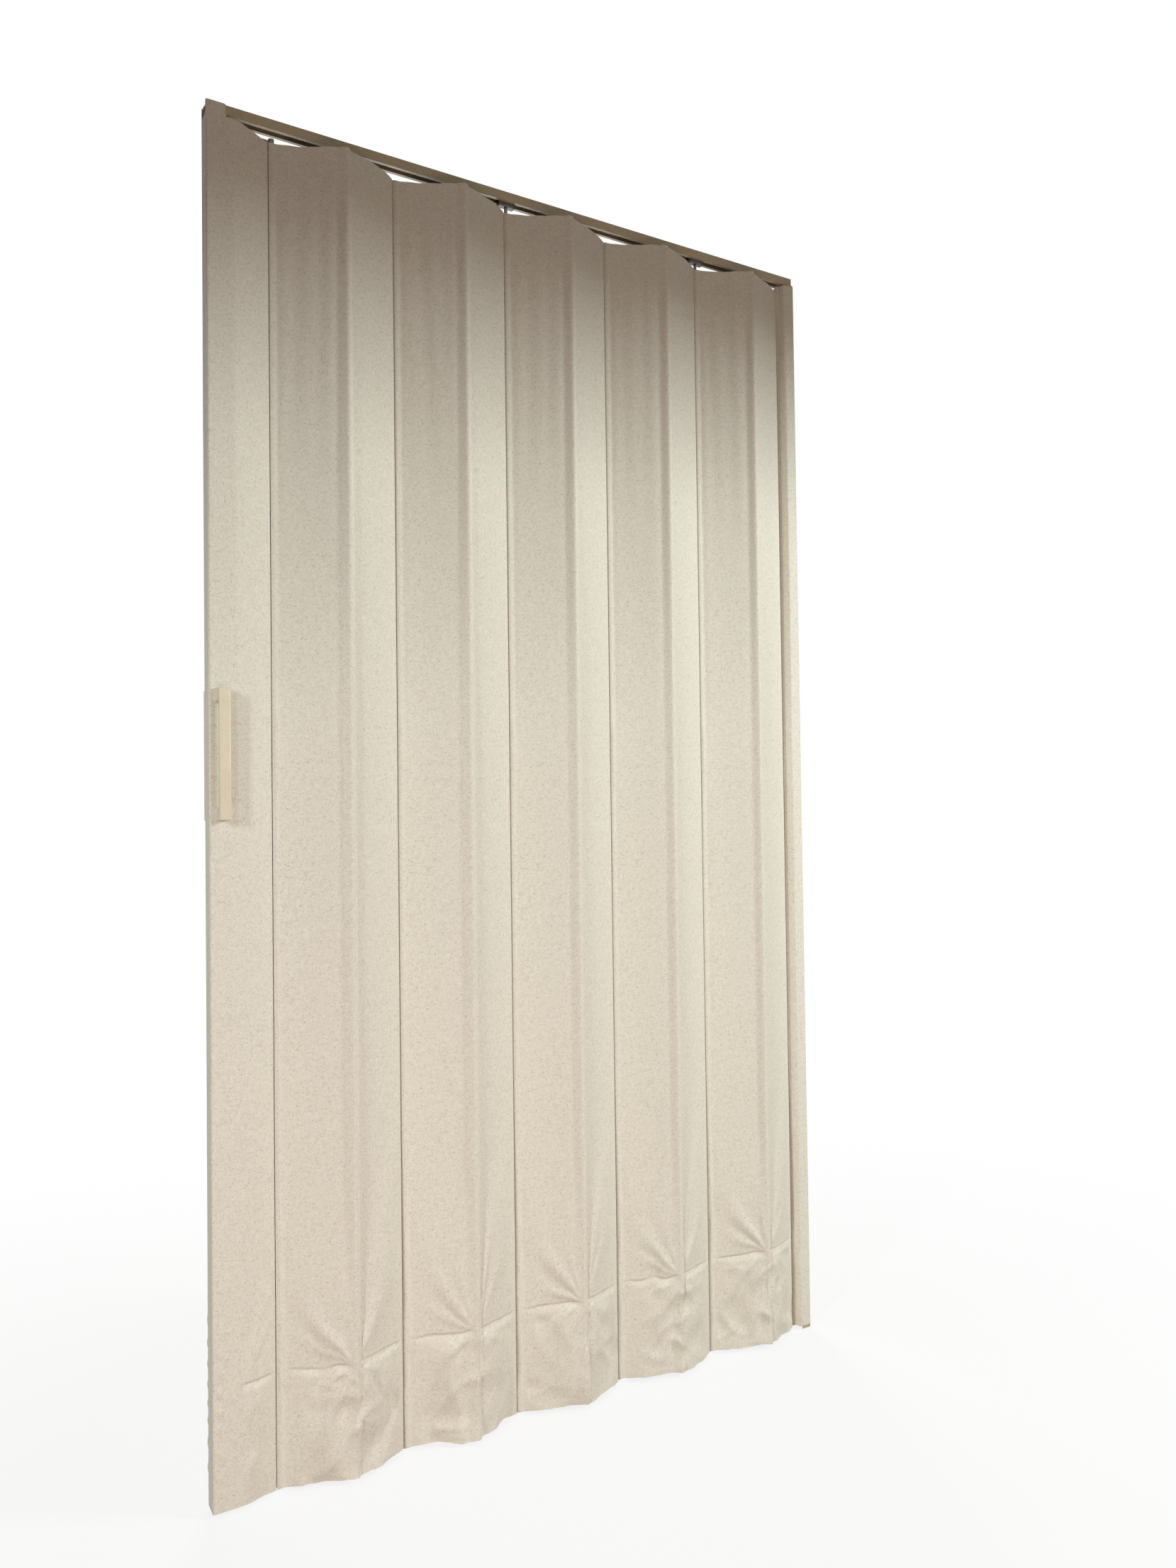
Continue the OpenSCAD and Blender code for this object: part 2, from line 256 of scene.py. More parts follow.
class Recipe(Nodes):
    """A short way to write one material."""

    def __init__(self, name: str, grain: Grain) -> None:
        """Starts a material with its shader.

        Args:
            name: Name of the material.
            grain: Which coordinates its patterns follow.
        """
        self.material = bpy.data.materials.new(name)
        self.material.use_nodes = True
        super().__init__(self.material.node_tree)
        self.shader = self.tree.nodes["Principled BSDF"]
        self.place = self.add("TexCoord").outputs[grain.value]

    def noise(self, scale: float, detail: float = 4.0, roughness: float = 0.55, distortion: float = 0.0,
              stretch: tuple[float, float, float] = (1, 1, 1)) -> Socket:
        """Adds a noise pattern.

        Args:
            scale: Cells per metre.
            detail: Octaves.
            roughness: Weight of the finer octaves.
            distortion: How much the cells curl.
            stretch: Scale along each axis.

        Returns:
            The pattern's value socket.
        """
        mapping = self.add("Mapping", Scale=stretch)
        self.link(self.place, mapping.inputs["Vector"])
        node = self.add("TexNoise", Scale=scale, Detail=detail, Roughness=roughness, Distortion=distortion)
        self.link(mapping.outputs["Vector"], node.inputs["Vector"])
        return node.outputs["Fac"]

    def cells(self, scale: float) -> Socket:
        """Adds a pattern of flat random cells, such as zinc's spangle.

        Args:
            scale: Cells per metre.

        Returns:
            A socket with one value per cell.
        """
        node = self.add("TexVoronoi", Scale=scale)
        self.link(self.place, node.inputs["Vector"])
        split = self.add("SeparateColor")
        self.link(node.outputs["Color"], split.inputs["Color"])
        return split.outputs["Red"]

    def spread(self, source: Socket, low: float, high: float, to_low: float = 0.0,
               to_high: float = 1.0) -> Socket:
        """Stretches a range of a pattern over another range.

        Args:
            source: Pattern.
            low: Value that becomes to_low.
            high: Value that becomes to_high.
            to_low: Lowest result.
            to_high: Highest result.

        Returns:
            The stretched pattern.
        """
        node = self.add("MapRange", From_Min=low, From_Max=high, To_Min=to_low, To_Max=to_high)
        self.link(source, node.inputs["Value"])
        return node.outputs["Result"]

    def tint(self, source: Socket, first: tuple | Socket, second: tuple | Socket) -> Socket:
        """Mixes two colours by a pattern.

        Args:
            source: Pattern from 0 to 1.
            first: Colour at 0.
            second: Colour at 1.

        Returns:
            The mixed colour.
        """
        node = self.add("Mix")
        node.data_type = "RGBA"
        self.link(source, node.inputs["Factor"])
        for colour, socket in zip((first, second), [s for s in node.inputs if s.type == "RGBA"]):
            if isinstance(colour, Socket):
                self.link(colour, socket)
            else:
                socket.default_value = colour
        return [s for s in node.outputs if s.type == "RGBA"][0]

    def bump(self, height: Socket, distance: float, strength: float,
             under: Socket | None = None) -> Socket:
        """Adds relief from a pattern.

        Args:
            height: Pattern.
            distance: Height of the relief, in metres.
            strength: Weight of the relief.
            under: Relief that it is added to.

        Returns:
            The normal with the relief.
        """
        node = self.add("Bump", Distance=distance, Strength=strength)
        self.link(height, node.inputs["Height"])
        if under is not None:
            self.link(under, node.inputs["Normal"])
        return node.outputs["Normal"]

    def finish(self, colour: Socket, roughness: Socket, normal: Socket,
               **constants: float) -> bpy.types.Material:
        """Joins the patterns to the shader.

        Args:
            colour: Base colour.
            roughness: Roughness.
            normal: Normal with its relief.
            **constants: Plain values of the shader, with _ for a space.

        Returns:
            The finished material.
        """
        for name, source in (("Base Color", colour), ("Roughness", roughness), ("Normal", normal)):
            self.link(source, self.shader.inputs[name])
        self.put(self.shader, **constants)
        return self.material


@dataclass(frozen=True)
class CoverVinyl:
    """The cover's matt vinyl-coated cloth, with a fine mottled grain and painted shade in the grooves at the
    hinge lines.
    """

    pale: tuple = srgb(236, 232, 220)
    warm: tuple = srgb(230, 223, 210)
    fleck: tuple = srgb(184, 177, 160)
    grime_and_painted_shade: tuple = srgb(150, 138, 116)

    def material(self) -> bpy.types.Material:
        """Builds the material on the cloth's own coordinates, in metres."""
        recipe = Recipe("cover_vinyl", Grain.CLOTH)
        mottle = recipe.spread(recipe.noise(130, 5, 0.75, 0.6), 0.40, 0.62)
        ground = recipe.tint(mottle, self.pale, self.warm)
        squiggle = recipe.noise(360, 3, 0.6, 1.8)
        flecks = recipe.spread(squiggle, 0.52, 0.66, 0.0, 0.75)
        colour = recipe.tint(flecks, ground, self.fleck)
        # Painted shade: the colour darkens towards the grooves at the hinge lines, following the sheet's
        # groove attribute.
        depth = recipe.add("Attribute")
        depth.attribute_name = "groove"
        colour = recipe.tint(recipe.spread(depth.outputs["Fac"], 0.0, 1.0, 0.0, 0.15), colour, self.grime_and_painted_shade)
        fine = recipe.noise(900, 3, 0.7)
        relief = recipe.bump(squiggle, 0.0006, 0.45)
        relief = recipe.bump(fine, 0.0003, 0.35, relief)
        rough = recipe.spread(recipe.noise(60, 4), 0.3, 0.7, 0.56, 0.68)
        return recipe.finish(colour, rough, relief, Specular_IOR_Level=0.35, Sheen_Weight=0.06)


@dataclass(frozen=True)
class BakedEnamel:
    """Satin enamel on rolled steel, a little worn and dusty."""

    name: str
    ground: tuple
    worn: tuple

    def material(self) -> bpy.types.Material:
        """Builds the material."""
        recipe = Recipe(self.name, Grain.OBJECT)
        wear = recipe.spread(recipe.noise(38, 6, 0.65, 0.4, (0.35, 1, 1)), 0.52, 0.74)
        colour = recipe.tint(wear, self.ground, self.worn)
        peel = recipe.bump(recipe.noise(420, 2), 0.0002, 0.35)
        scuffs = recipe.spread(recipe.noise(90, 5, 0.6, 0.0, (0.08, 1, 1)), 0.3, 0.7, 0.34, 0.52)
        return recipe.finish(colour, scuffs, peel, Specular_IOR_Level=0.45)


@dataclass(frozen=True)
class ZincedSteel:
    """Zinc-plated steel with a faint spangle, dulled by handling."""

    bright: tuple = srgb(118, 114, 106)
    dull: tuple = srgb(84, 80, 72)

    def material(self) -> bpy.types.Material:
        """Builds the material."""
        recipe = Recipe("zinced_steel", Grain.OBJECT)
        colour = recipe.tint(recipe.spread(recipe.cells(160), 0.0, 1.0, 0.0, 0.5), self.bright, self.dull)
        grime_and_painted_shade = recipe.spread(recipe.noise(24, 5), 0.5, 0.7, 0.0, 0.6)
        colour = recipe.tint(grime_and_painted_shade, colour, self.dull)
        drawn = recipe.noise(600, 2, 0.5, 0.0, (1, 1, 0.04))
        return recipe.finish(colour, recipe.spread(recipe.noise(70, 4), 0.3, 0.7, 0.32, 0.5),
                             recipe.bump(drawn, 0.0001, 0.3), Metallic=0.85)


@dataclass(frozen=True)
class DieCasting:
    """Plain zinc die casting with a grainy skin."""

    bright: tuple = srgb(108, 104, 98)
    dark: tuple = srgb(82, 79, 74)

    def material(self) -> bpy.types.Material:
        """Builds the material."""
        recipe = Recipe("die_casting", Grain.OBJECT)
        colour = recipe.tint(recipe.spread(recipe.noise(55, 5), 0.4, 0.65), self.bright, self.dark)
        return recipe.finish(colour, recipe.spread(recipe.noise(180, 3), 0.3, 0.7, 0.42, 0.62),
                             recipe.bump(recipe.noise(800, 3), 0.0002, 0.4), Metallic=0.7)


@dataclass(frozen=True)
class MouldedPlastic:
    """Moulded plastic with a slight flow pattern and fine scratches."""

    name: str
    ground: tuple
    flow: tuple
    gloss: tuple[float, float]

    def material(self) -> bpy.types.Material:
        """Builds the material."""
        recipe = Recipe(self.name, Grain.OBJECT)
        colour = recipe.tint(recipe.spread(recipe.noise(30, 4, 0.5, 0.8), 0.35, 0.7), self.ground, self.flow)
        scratches = recipe.noise(500, 2, 0.5, 0.0, (1, 1, 0.06))
        low, high = self.gloss
        return recipe.finish(colour, recipe.spread(scratches, 0.35, 0.7, low, high),
                             recipe.bump(scratches, 0.0001, 0.12), Specular_IOR_Level=0.5)


@dataclass(frozen=True)
class Plan:
    """Where the hinge lines stand in plan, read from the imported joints.

    Outward is the distance from the door's middle plane, on either side.
    """

    lines: tuple[float, ...]
    pitch: float
    depth: float

    @classmethod
    def of_joints(cls, joints: list[dict]) -> "Plan":
        """Reads the plan.

        Args:
            joints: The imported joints.

        Returns:
            The plan of the hinge lines.
        """
        places = {j["name"]: j["pos_m"] for j in joints}
        pitch = places["hinge_a5"][0] - places["hinge_a4"][0]
        last = places["fold"][0]
        return cls(tuple(last - pitch * n for n in range(5, -1, -1)), pitch, abs(places["hinge_a5"][1]))

    @property
    def panel(self) -> float:
        """Width of one panel, from a hinge line to the next fold."""
        return math.hypot(self.pitch / 2, self.depth)

    @property
    def slope(self) -> float:
        """Angle of a panel to the track."""
        return math.atan2(self.depth, self.pitch / 2)


@dataclass
class Cut:
    """A sheet's path in plan, from its left edge to its right one.

    Attributes:
        points: Places of the columns, along X and outward.
        valley: Distance of each column from its hinge line, along the panel.
        peak: Distance of each column from its fold, along the panel.
        falling: Whether the column is on the half with the plain end.
        groove: How deep each column lies in the groove at a hinge line, from 0 to 1, which also sets how much
            painted shade it gets.
    """

    points: np.ndarray
    valley: np.ndarray
    peak: np.ndarray
    falling: np.ndarray
    groove: np.ndarray

    @property
    def across(self) -> np.ndarray:
        """Distance of each column from the left edge, along the cloth."""
        steps = np.hypot(*np.diff(self.points, axis=0).T)
        return np.concatenate([[0.0], np.cumsum(steps)])

    @property
    def normals(self) -> np.ndarray:
        """Outward direction at each column."""
        along = np.gradient(self.points, axis=0)
        out = np.stack([-along[:, 1], along[:, 0]], axis=1)
        return out / np.linalg.norm(out, axis=1, keepdims=True)

    @property
    def climb(self) -> np.ndarray:
        """Share by which a plain end's top edge has risen at each column."""
        return np.clip((self.valley - 9 * MM) / (50 * MM), 0, 1)

    def mirrored(self, about: float) -> "Cut":
        """Turns the path round left to right.

        Args:
            about: Place along X that stays.

        Returns:
            The mirrored path, again from left to right.
        """
        points = self.points * (-1, 1) + (2 * about, 0)
        return Cut(points[::-1], self.valley[::-1], self.peak[::-1], self.falling[::-1], self.groove[::-1])


@dataclass(frozen=True)
class Strip:
    """The flat strip over a hinge line, whose free edge is tucked round the rod behind it.

    Attributes:
        reach: Where the flat part starts and ends, from the hinge line.
        out: How far it lies outward.
        tuck: Angle over which the free edge goes round, in degrees.
        tuck_out: How much further from the hinge line the edge lies than the flat part's start.
        PLAIN_DEPTH: How deep in the groove a plain end lies, as a share, which sets the painted shade on its
            edge.
    """

    reach: tuple[float, float] = (-2.5 * MM, 6.0 * MM)
    out: float = 3.9 * MM
    tuck: float = 42.0
    tuck_out: float = 2.1 * MM

    PLAIN_DEPTH = 0.4

    def points(self) -> np.ndarray:
        """Lists the strip's points from the tucked edge on.

        Returns:
            Their places, measured from the hinge line.
        """
        start, radius = math.atan2(self.out, self.reach[0]), math.hypot(self.out, self.reach[0])
        share = np.linspace(1.0, 0.0, 6)[:-1]
        angle, reach = start + math.radians(self.tuck) * share, radius + self.tuck_out * share
        tucked = np.stack([reach * np.cos(angle), reach * np.sin(angle)], axis=1)
        flat = np.linspace(*self.reach, 5)
        return np.concatenate([tucked, np.stack([flat, np.full(5, self.out)], axis=1)])

    @staticmethod
    def groove(places: np.ndarray) -> np.ndarray:
        """Says how deep in the groove each place along X lies, measured from the hinge line."""
        # The same share sets the painted shade in the groove.
        return ramp(places, 3.0 * MM, -3.5 * MM)

    def meets(self, along: np.ndarray) -> tuple[float, float]:
        """Says where a panel takes over from the strip, and how far the strip lies off the panel there.

        Args:
            along: Direction of the panel.

        Returns:
            The distance along the panel and the distance off it.
        """
        end = self.reach[1]
        return end * along[0] + self.out * along[1], self.out * along[0] - end * along[1]


@dataclass(frozen=True)
class Pleat:
    """How the cover runs over one pleat, from one hinge line to the next.

    Attributes:
        strip: The strip over the first hinge line.
        tail: Where the plain end stops, before the next hinge line.
        lie: How far the panels lie outside the plane of the hinge lines.
        nose: Radius of the cloth round a fold's rod.
        ease: Width over which the rising and the falling panel ease into the nose.
        settle: How far along the panel it has come down from the strip.
        spacing: Distance between the columns.
        close: Distance between the columns on a bend.
        turns: Number of columns round the nose.
    """

    strip: Strip = Strip()
    tail: float = 9.0 * MM
    lie: float = 1.0 * MM
    nose: float = 5.8 * MM
    ease: tuple[float, float] = (16 * MM, 11 * MM)
    settle: float = 25 * MM
    spacing: float = 4.2 * MM
    close: float = 2.5 * MM
    turns: int = 9

    def cut(self, plan: Plan, left: float) -> Cut:
        """Lays the cover over the pleat, with the strip at the left.

        Args:
            plan: The hinge lines.
            left: Place of the left hinge line.

        Returns:
            The path of the sheet.
        """
        width, slope = plan.panel, plan.slope
        along = np.array([math.cos(slope), math.sin(slope)])
        out = np.array([-along[1], along[0]])
        strip = self.strip.points()
        meet, off = self.strip.meets(along)
        ease_up, ease_down = self.ease
        near, end = width - ease_up, width - self.tail
        rise = np.concatenate([np.arange(meet + self.close, near, self.spacing),
                               np.arange(near, width, self.close)])
        offset = self.lie + (self.nose - self.lie) * ramp(rise, near, width)
        offset += (off - self.lie) * (1 - ramp(rise, meet, self.settle))
        rising = rise[:, None] * along + offset[:, None] * out
        turn = np.radians(np.linspace(90 + math.degrees(slope), 90 - math.degrees(slope), self.turns))
        top = np.array([plan.pitch / 2, plan.depth])
        nose = top + self.nose * np.stack([np.cos(turn), np.sin(turn)], axis=1)
        fall = np.concatenate([np.arange(2 * MM, ease_down, 2 * MM),
                               np.arange(ease_down, end, self.spacing), [end]])
        offset = self.lie + (self.nose - self.lie) * ramp(fall, ease_down, 0.0)
        falling = top + fall[:, None] * (along * (1, -1)) + offset[:, None] * (out * (-1, 1))
        points = np.concatenate([strip, rising, nose, falling])
        fall = width - fall
        valley = np.concatenate([np.clip(strip[:, 0], 0, None), rise, np.full(self.turns, width), fall])
        # A plain end's last millimetres get some painted groove shade.
        plain = Strip.PLAIN_DEPTH * ramp(fall, self.tail + 4 * MM, self.tail)
        groove = np.concatenate([Strip.groove(strip[:, 0]), np.zeros(len(rise) + self.turns), plain])
        crest = len(strip) + len(rise) + (self.turns + 1) // 2
        return Cut(points + (left, 0), valley, width - valley, np.arange(len(points)) >= crest, groove)


@dataclass(frozen=True)
class Heights:
    """Where the cloth's rows lie, in metres above the floor.

    Attributes:
        arm_rows: Foot of each row of arms.
        arm_stack: Height of the arms and brackets at one rod.
        hem: Lowest edge.
        skirt: Below this the hem's own shape is followed.
        crease: Where the cover is pinched under the rods.
        calm: Above this the cloth is smooth.
        gather: Above this the top edge's own shape is followed.
        top: Top edge at a fold.
        dip: How much lower the top edge is at a hinge line.
    """

    arm_rows: tuple[float, ...]
    arm_stack: float = 61 * MM
    hem: float = 6.5 * MM
    skirt: float = 0.150
    crease: float = 0.183
    calm: float = 0.450
    gather: float = 1.900
    top: float = 2.1065
    dip: float = 6.5 * MM

    def rows(self) -> np.ndarray:
        """Lists the heights of the rows, closest together round the crease.

        Returns:
            The heights, from the hem upwards.
        """
        under, above = self.crease - 18 * MM, self.crease + 12 * MM
        bands = ((self.skirt, 34), (under, 6), (above, 24), (0.215, 7), (self.calm, 52), (self.gather, 66),
                 (self.top, 22))
        rows = [self.hem]
        for end, count in bands:
            rows.extend(np.linspace(rows[-1], end, count)[1:])
        return np.array(rows)

    def fitted(self, hem: np.ndarray, top: np.ndarray, line: np.ndarray) -> np.ndarray:
        """Bends the lowest and highest rows to the edges' own shapes, and those between to the pinched line.

        Args:
            hem: Height of the hem at each column.
            top: Height of the top edge at each column.
            line: Height of the pinched line at each column.

        Returns:
            The height of each row at each column.
        """
        rows = self.rows()[:, None]
        low = np.clip((self.skirt - rows) / (self.skirt - self.hem), 0, 1)
        high = np.clip((rows - self.gather) / (self.top - self.gather), 0, 1)
        near = ramp(rows, self.crease - 30 * MM, self.crease - 5 * MM)
        near = near * ramp(rows, self.crease + 45 * MM, self.crease + 5 * MM)
        return rows + low * (hem - self.hem) + high * (top - self.top) + near * (line - self.crease)


@dataclass(frozen=True)
class Ridge:
    """A wrinkle that runs from the foot of a fold.

    Attributes:
        angle: Direction from upright, in degrees.
        height: How far it stands out.
        length: How far it reaches.
        width: Spread of its flanks, in degrees.
    """

    angle: float
    height: float
    length: float
    width: float


@dataclass
class Drape:
    """How one sheet hangs: the height of its rows, and by formula how far it stands out from its path.

    Above the pinched line it always stands outward.

    Attributes:
        heights: Where the cloth's rows lie.
        cut: The sheet's path.
        seed: Picks the draw.
    """

    heights: Heights
    cut: Cut
    seed: int

    RISING = (Ridge(14, 1.8 * MM, 0.15, 4), Ridge(37, 6.6 * MM, 0.23, 6.5), Ridge(62, 5.8 * MM, 0.15, 7.5))
    FALLING = (Ridge(17, 3.4 * MM, 0.28, 3), Ridge(30, 5.4 * MM, 0.30, 4))
    HANGING = (Ridge(27, 6.0 * MM, 0.15, 7.5), Ridge(58, 5.4 * MM, 0.11, 8.5))
    # The noises: the cloth's unevenness, the step at the pinched line, and two of the skirt's.
    BROAD, SMALL = Cells(0.055, 0.42, (0, 11)), Cells(0.024, 0.15, (31, 5))
    UNEVEN = Cells(0.028, 0.05, (70, 0))
    DENTS, UPRIGHT = Cells(0.052, 0.040, (7, 2)), Cells(0.026, 0.16, (40, 0))
    # How far the cloth stands out over and under the pinched line, and how far this reaches.
    LIP, STEP = 3.3 * MM, 7.4 * MM
    LIP_REACH, STEP_REACH = 80 * MM, 130 * MM
    # The upright waves near the top, the lift over the arms' ends, and the most that all may come to.
    GATHER, GATHER_PITCH = 1.2 * MM, 0.037
    ARM_LIFT, ARM_MARGIN, ARM_EASE = 1.2 * MM, 6 * MM, 25 * MM
    MOST = 14 * MM

    def __post_init__(self) -> None:
        """Draws the noise of this sheet, and its pinched line, which is nearly straight on a falling half."""
        self.noise = Lattice(self.seed)
        self.draw = np.random.default_rng(self.seed + 500)
        self.across = self.cut.across[None, :]
        wander = np.where(self.cut.falling, 1.2 * MM, 4.5 * MM)
        self.line = self.heights.crease + wander * self.noise.at(self.cut.across / 0.024, 3.3)

    def lay(self, hem: np.ndarray, top: np.ndarray) -> None:
        """Lays the rows, which the relief is worked out on.

        Args:
            hem: Height of the hem at each column.
            top: Height of the top edge at each column.
        """
        self.rows = self.heights.fitted(hem, top, self.line)
        self.above = self.rows - self.line

    def hem(self) -> np.ndarray:
        """Gives the height of the hem at each column, clear of the floor."""
        broad, small = (self.noise.at(self.cut.across / width, start)
                        for width, start in ((0.035, 8.5), (0.012, 2.5)))
        return np.maximum(self.heights.hem + (2.6 * MM * broad + 1.2 * MM * small), 1.8 * MM)

    def top(self) -> np.ndarray:
        """Gives the top edge, which dips at the hinge lines.

        Returns:
            Its height at each column.
        """
        cut = self.cut
        share = np.where(cut.falling, 1 - (1 - cut.climb) ** 2, ramp(cut.valley, 0.030, cut.peak.max()))
        small = 0.8 * MM * self.noise.at(cut.across / 0.03, 6.5)
        return self.heights.top - self.heights.dip * (1 - share) + small

    def fan(self, ridges: tuple[Ridge, ...], above: np.ndarray) -> np.ndarray:
        """Adds up ridges that run from the foot of the fold.

        Args:
            ridges: The ridges.
            above: Distance from the foot towards the side where they run.

        Returns:
            The height of the ridges at each place.
        """
        reach = np.hypot(self.cut.peak, above)
        angle = np.degrees(np.arctan2(self.cut.peak, np.maximum(above, 1e-6)))
        total = np.zeros_like(reach)
        for ridge in ridges:
            turn = ridge.angle + self.draw.uniform(-7, 7)
            length = ridge.length * self.draw.uniform(0.7, 1.25)
            height = ridge.height * self.draw.uniform(0.35, 1.2)
            flank = np.exp(-((angle - turn) / ridge.width) ** 2)
            total += height * flank * ramp(reach, 3 * MM, 45 * MM) * ramp(reach, length, 0.35 * length)
        return total * (above > 0)

    def billow(self) -> np.ndarray:
        """Gives the soft unevenness that all the cloth has."""
        broad, small = (self.noise.over(cells, self.across, self.rows) for cells in (self.BROAD, self.SMALL))
        return 0.7 * MM * (1 + broad) + 0.25 * MM * (1 + small)

    def crease(self, edge: np.ndarray, step: np.ndarray) -> np.ndarray:
        """Gives the pinched line under the rods, with an overhanging lip above it and a step out below it.

        Args:
            edge: Depth of the lip at each column, as a share.
            step: Depth of the step at each column, as a share.

        Returns:
            How far each point stands out.
        """
        line, rows = self.line, self.rows
        lip = ramp(rows, line, line + 4 * MM) * ramp(rows, line + self.LIP_REACH, line + 6 * MM)
        fade = 1 - 0.4 * ramp(rows, line - 45 * MM, line - self.STEP_REACH)
        below = ramp(rows, line + 0.5 * MM, line - 13 * MM) * fade
        uneven = 0.72 + 0.34 * self.noise.over(self.UNEVEN, self.across, rows)
        return self.LIP * lip * edge + self.STEP * below * step * uneven

    def lean(self) -> np.ndarray:
        """Gives the slack above the pinched line, which on a falling half ends at its long crease.

        Returns:
            How far each point stands out.
        """
        falling, peak = self.cut.falling, self.cut.peak
        crest = np.where(falling, 1.75 * peak + 4 * MM, 0.075)[None, :]
        slack = np.where(falling, 8.0 * MM * ramp(peak, 0.0, 60 * MM), 3.2 * MM)[None, :]
        return slack * np.clip(self.above / crest, 0, 1) * ramp(self.above, crest + 0.19, crest)

    def skirt(self) -> np.ndarray:
        """Gives the crumples of the free cloth below the rods.

        Returns:
            How far each point stands out, or in where it is below zero.
        """
        across, rows = self.across, self.rows
        dents, upright = (self.noise.over(cells, across, rows) for cells in (self.DENTS, self.UPRIGHT))
        sharp = (1 - np.abs(self.noise.at(across / 0.060 + 17, rows / 0.055 + across / 0.09))) ** 2
        slant = (1 - np.abs(self.noise.at(across / 0.048 - rows / 0.08 + 60, rows / 0.064))) ** 3
        total = 4.2 * MM * dents + 6.2 * MM * sharp + 5.0 * MM * slant - 4.4 * MM + 1.6 * MM * upright
        return total * ramp(rows, 0.178, self.heights.skirt)

    def arms(self) -> np.ndarray:
        """Lifts the strip over the ends of the arms behind it.

        Returns:
            How far each point is lifted.
        """
        cut, rows = self.cut, self.rows
        lift = np.zeros_like(rows)
        for foot in self.heights.arm_rows:
            low, high = foot - self.ARM_MARGIN, foot + self.heights.arm_stack + self.ARM_MARGIN
            raised = ramp(rows, low - self.ARM_EASE, low) * ramp(rows, high + self.ARM_EASE, high)
            lift = np.maximum(lift, raised)
        near = ramp(cut.valley, 16 * MM, 6 * MM) * ~cut.falling * ramp(cut.groove, 1.02, 0.9)
        return self.ARM_LIFT * lift * near[None, :]

    def within(self, relief: np.ndarray) -> np.ndarray:
        """Keeps the relief low near the hinge lines, where the folded panels come close together."""
        most = np.clip(0.2 * self.cut.valley - 1.7 * MM, 0, self.MOST)[None, :]
        return most * np.tanh(relief / np.maximum(most, 0.01 * MM))

    def over_pleat(self) -> np.ndarray:
        """Gives the relief of one pleat.

        Returns:
            How far each point stands out.
        """
        falling, rows = self.cut.falling[None, :], self.rows
        crest = ramp(self.cut.peak, 5 * MM, 28 * MM)[None, :]
        pinch = ramp(self.cut.peak, 2 * MM, 15 * MM)[None, :]
        sway = 0.5 * self.noise.at(0.5, rows / 0.55)
        wave = 0.5 + 0.5 * np.cos(2 * np.pi * (self.across / self.GATHER_PITCH + sway) + self.seed)
        gathered = self.GATHER * ramp(rows, 1.40, 1.95) * wave * np.where(falling, 0.45, 1.0)
        broken = ramp(self.noise.at(self.across / 0.035 + 50, 0.4), -0.7, 0.1) * 0.8 + 0.1
        edge = np.where(falling, 1.0, broken) * pinch
        step = np.where(falling, 1.0, 0.45 + 0.5 * broken) * pinch
        fans = np.where(falling, self.fan(self.FALLING, self.above), self.fan(self.RISING, self.above))
        fans = fans + self.fan(self.HANGING, -self.above)
        total = (self.billow() + gathered) * crest + self.crease(edge, step) + fans
        total = total + self.lean() * (self.above > 0) * pinch + self.skirt()
        return self.within(total) + self.arms()


@dataclass(frozen=True)
class Cloth:
    """Makes sheets of one material."""

    finish: bpy.types.Material

    THICKNESS = 0.8 * MM

    def sheet(self, name: str, drape: Drape, relief: np.ndarray, side: Side) -> bpy.types.Object:
        """Makes one sheet.

        Args:
            name: Name of the piece.
            drape: Its path and its rows.
            relief: How far each point stands out of the path.
            side: Face of the door that it hangs on.

        Returns:
            The sheet, with its thickness.
        """
        cut, rows = drape.cut, drape.rows
        plan = cut.points[None, :, :] + relief[:, :, None] * cut.normals[None, :, :]
        places = np.stack([plan[..., 0], side.value * plan[..., 1], rows], axis=-1)
        index = np.arange(rows.size).reshape(rows.shape)
        corners = (index[:-1, :-1], index[:-1, 1:], index[1:, 1:], index[1:, :-1])
        quads = np.stack(corners, axis=-1).reshape(-1, 4)
        if side is Side.BACK:
            quads = quads[:, ::-1]
        mesh = bpy.data.meshes.new(name)
        mesh.from_pydata(places.reshape(-1, 3).tolist(), [], quads.tolist())
        flat = np.stack([np.broadcast_to(drape.across, rows.shape), rows], axis=-1).reshape(-1, 2)
        mesh.uv_layers.new(name="cloth")
        mesh.uv_layers["cloth"].data.foreach_set("uv", flat[quads.reshape(-1)].ravel())
        # The groove attribute sets the painted shade near the hinge lines in the cover's material.
        depth = mesh.attributes.new("groove", "FLOAT", "POINT")
        depth.data.foreach_set("value", np.broadcast_to(cut.groove[None, :], rows.shape).ravel())
        mesh.materials.append(self.finish)
        piece = bpy.data.objects.new(name, mesh)
        bpy.context.scene.collection.objects.link(piece)
        Shop.use(piece)
        thick = piece.modifiers.new("thickness", "SOLIDIFY")
        thick.thickness, thick.offset = self.THICKNESS, 0.0
        bpy.ops.object.modifier_apply(modifier=thick.name)
        bpy.ops.object.shade_smooth_by_angle(angle=math.radians(55))
        return piece


